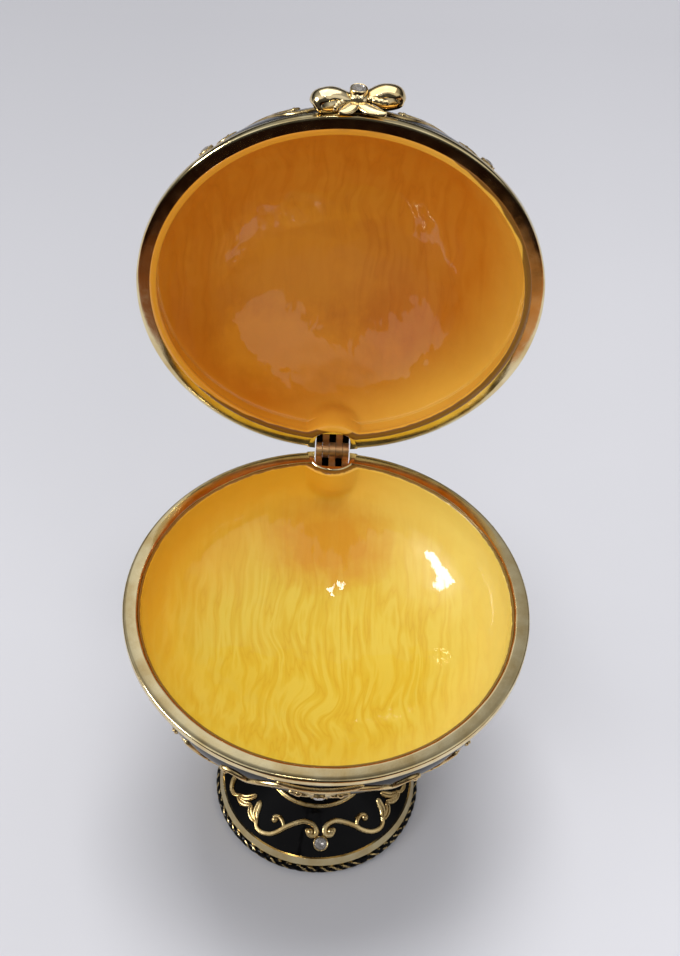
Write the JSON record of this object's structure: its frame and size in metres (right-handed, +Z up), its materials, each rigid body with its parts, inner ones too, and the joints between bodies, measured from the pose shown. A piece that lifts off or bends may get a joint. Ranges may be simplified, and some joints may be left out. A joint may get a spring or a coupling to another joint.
{
  "type": "trinket box",
  "caption": "Round hinged trinket box of enamelled cast metal on a scrolled pedestal foot, with an amber enamel inside, gold lips and a ribbon bow on the lid.",
  "frame": {"origin": "centre of the foot's flat underside, on the table", "axes": "+Z up from the table, +Y towards the hinge, -Y towards the front, +X to the right seen from the front; the lid is open as pictured"},
  "size_m": [0.06, 0.0883, 0.1133],
  "materials": {
    "gold_casting": "gold-plated, brushed",
    "gold_trim": "gold-plated, polished",
    "black_metal": "gloss enamel",
    "black_enamel": "gloss",
    "yellow_enamel": "gloss",
    "amber_enamel": "gloss",
    "hinge_bronze": "worn",
    "steel": "plain",
    "crystal": "cut"
  },
  "bodies": {
    "base": {"foot_casting": "gold_casting", "foot_rope_edge": "gold_trim", "foot_enamel": "black_enamel", "foot_scrolls": "gold_trim", "foot_collets": "gold_trim", "foot_stones": "crystal", "stem_ring": "gold_trim", "stem": "black_metal", "stem_knop": "gold_trim", "bowl_calyx": "gold_trim", "tie_rod": "steel", "bowl_casting": "gold_casting", "bowl_lining": "yellow_enamel", "bowl_enamel": "black_enamel", "bowl_scrolls": "gold_trim", "bowl_collets": "gold_trim", "bowl_stones": "crystal", "hinge_lower_leaf": "hinge_bronze", "hinge_pin": "hinge_bronze"},
    "lid": {"hinge_upper_leaf": "hinge_bronze", "lid_casting": "gold_casting", "lid_lining": "amber_enamel", "lid_enamel": "black_enamel", "lid_scrolls": "gold_trim", "lid_collets": "gold_trim", "lid_stones": "crystal", "bow_ribbon": "gold_trim", "bow_tails": "gold_trim", "bow_knot": "gold_trim", "bow_stone": "crystal"}
  },
  "joints": [
    {"name": "lid_hinge", "type": "hinge", "parent": "base", "child": "lid", "pos_m": [0, 0.0301, 0.0516], "axis": [1, 0, 0], "range_deg": [0, 97]}
  ]
}
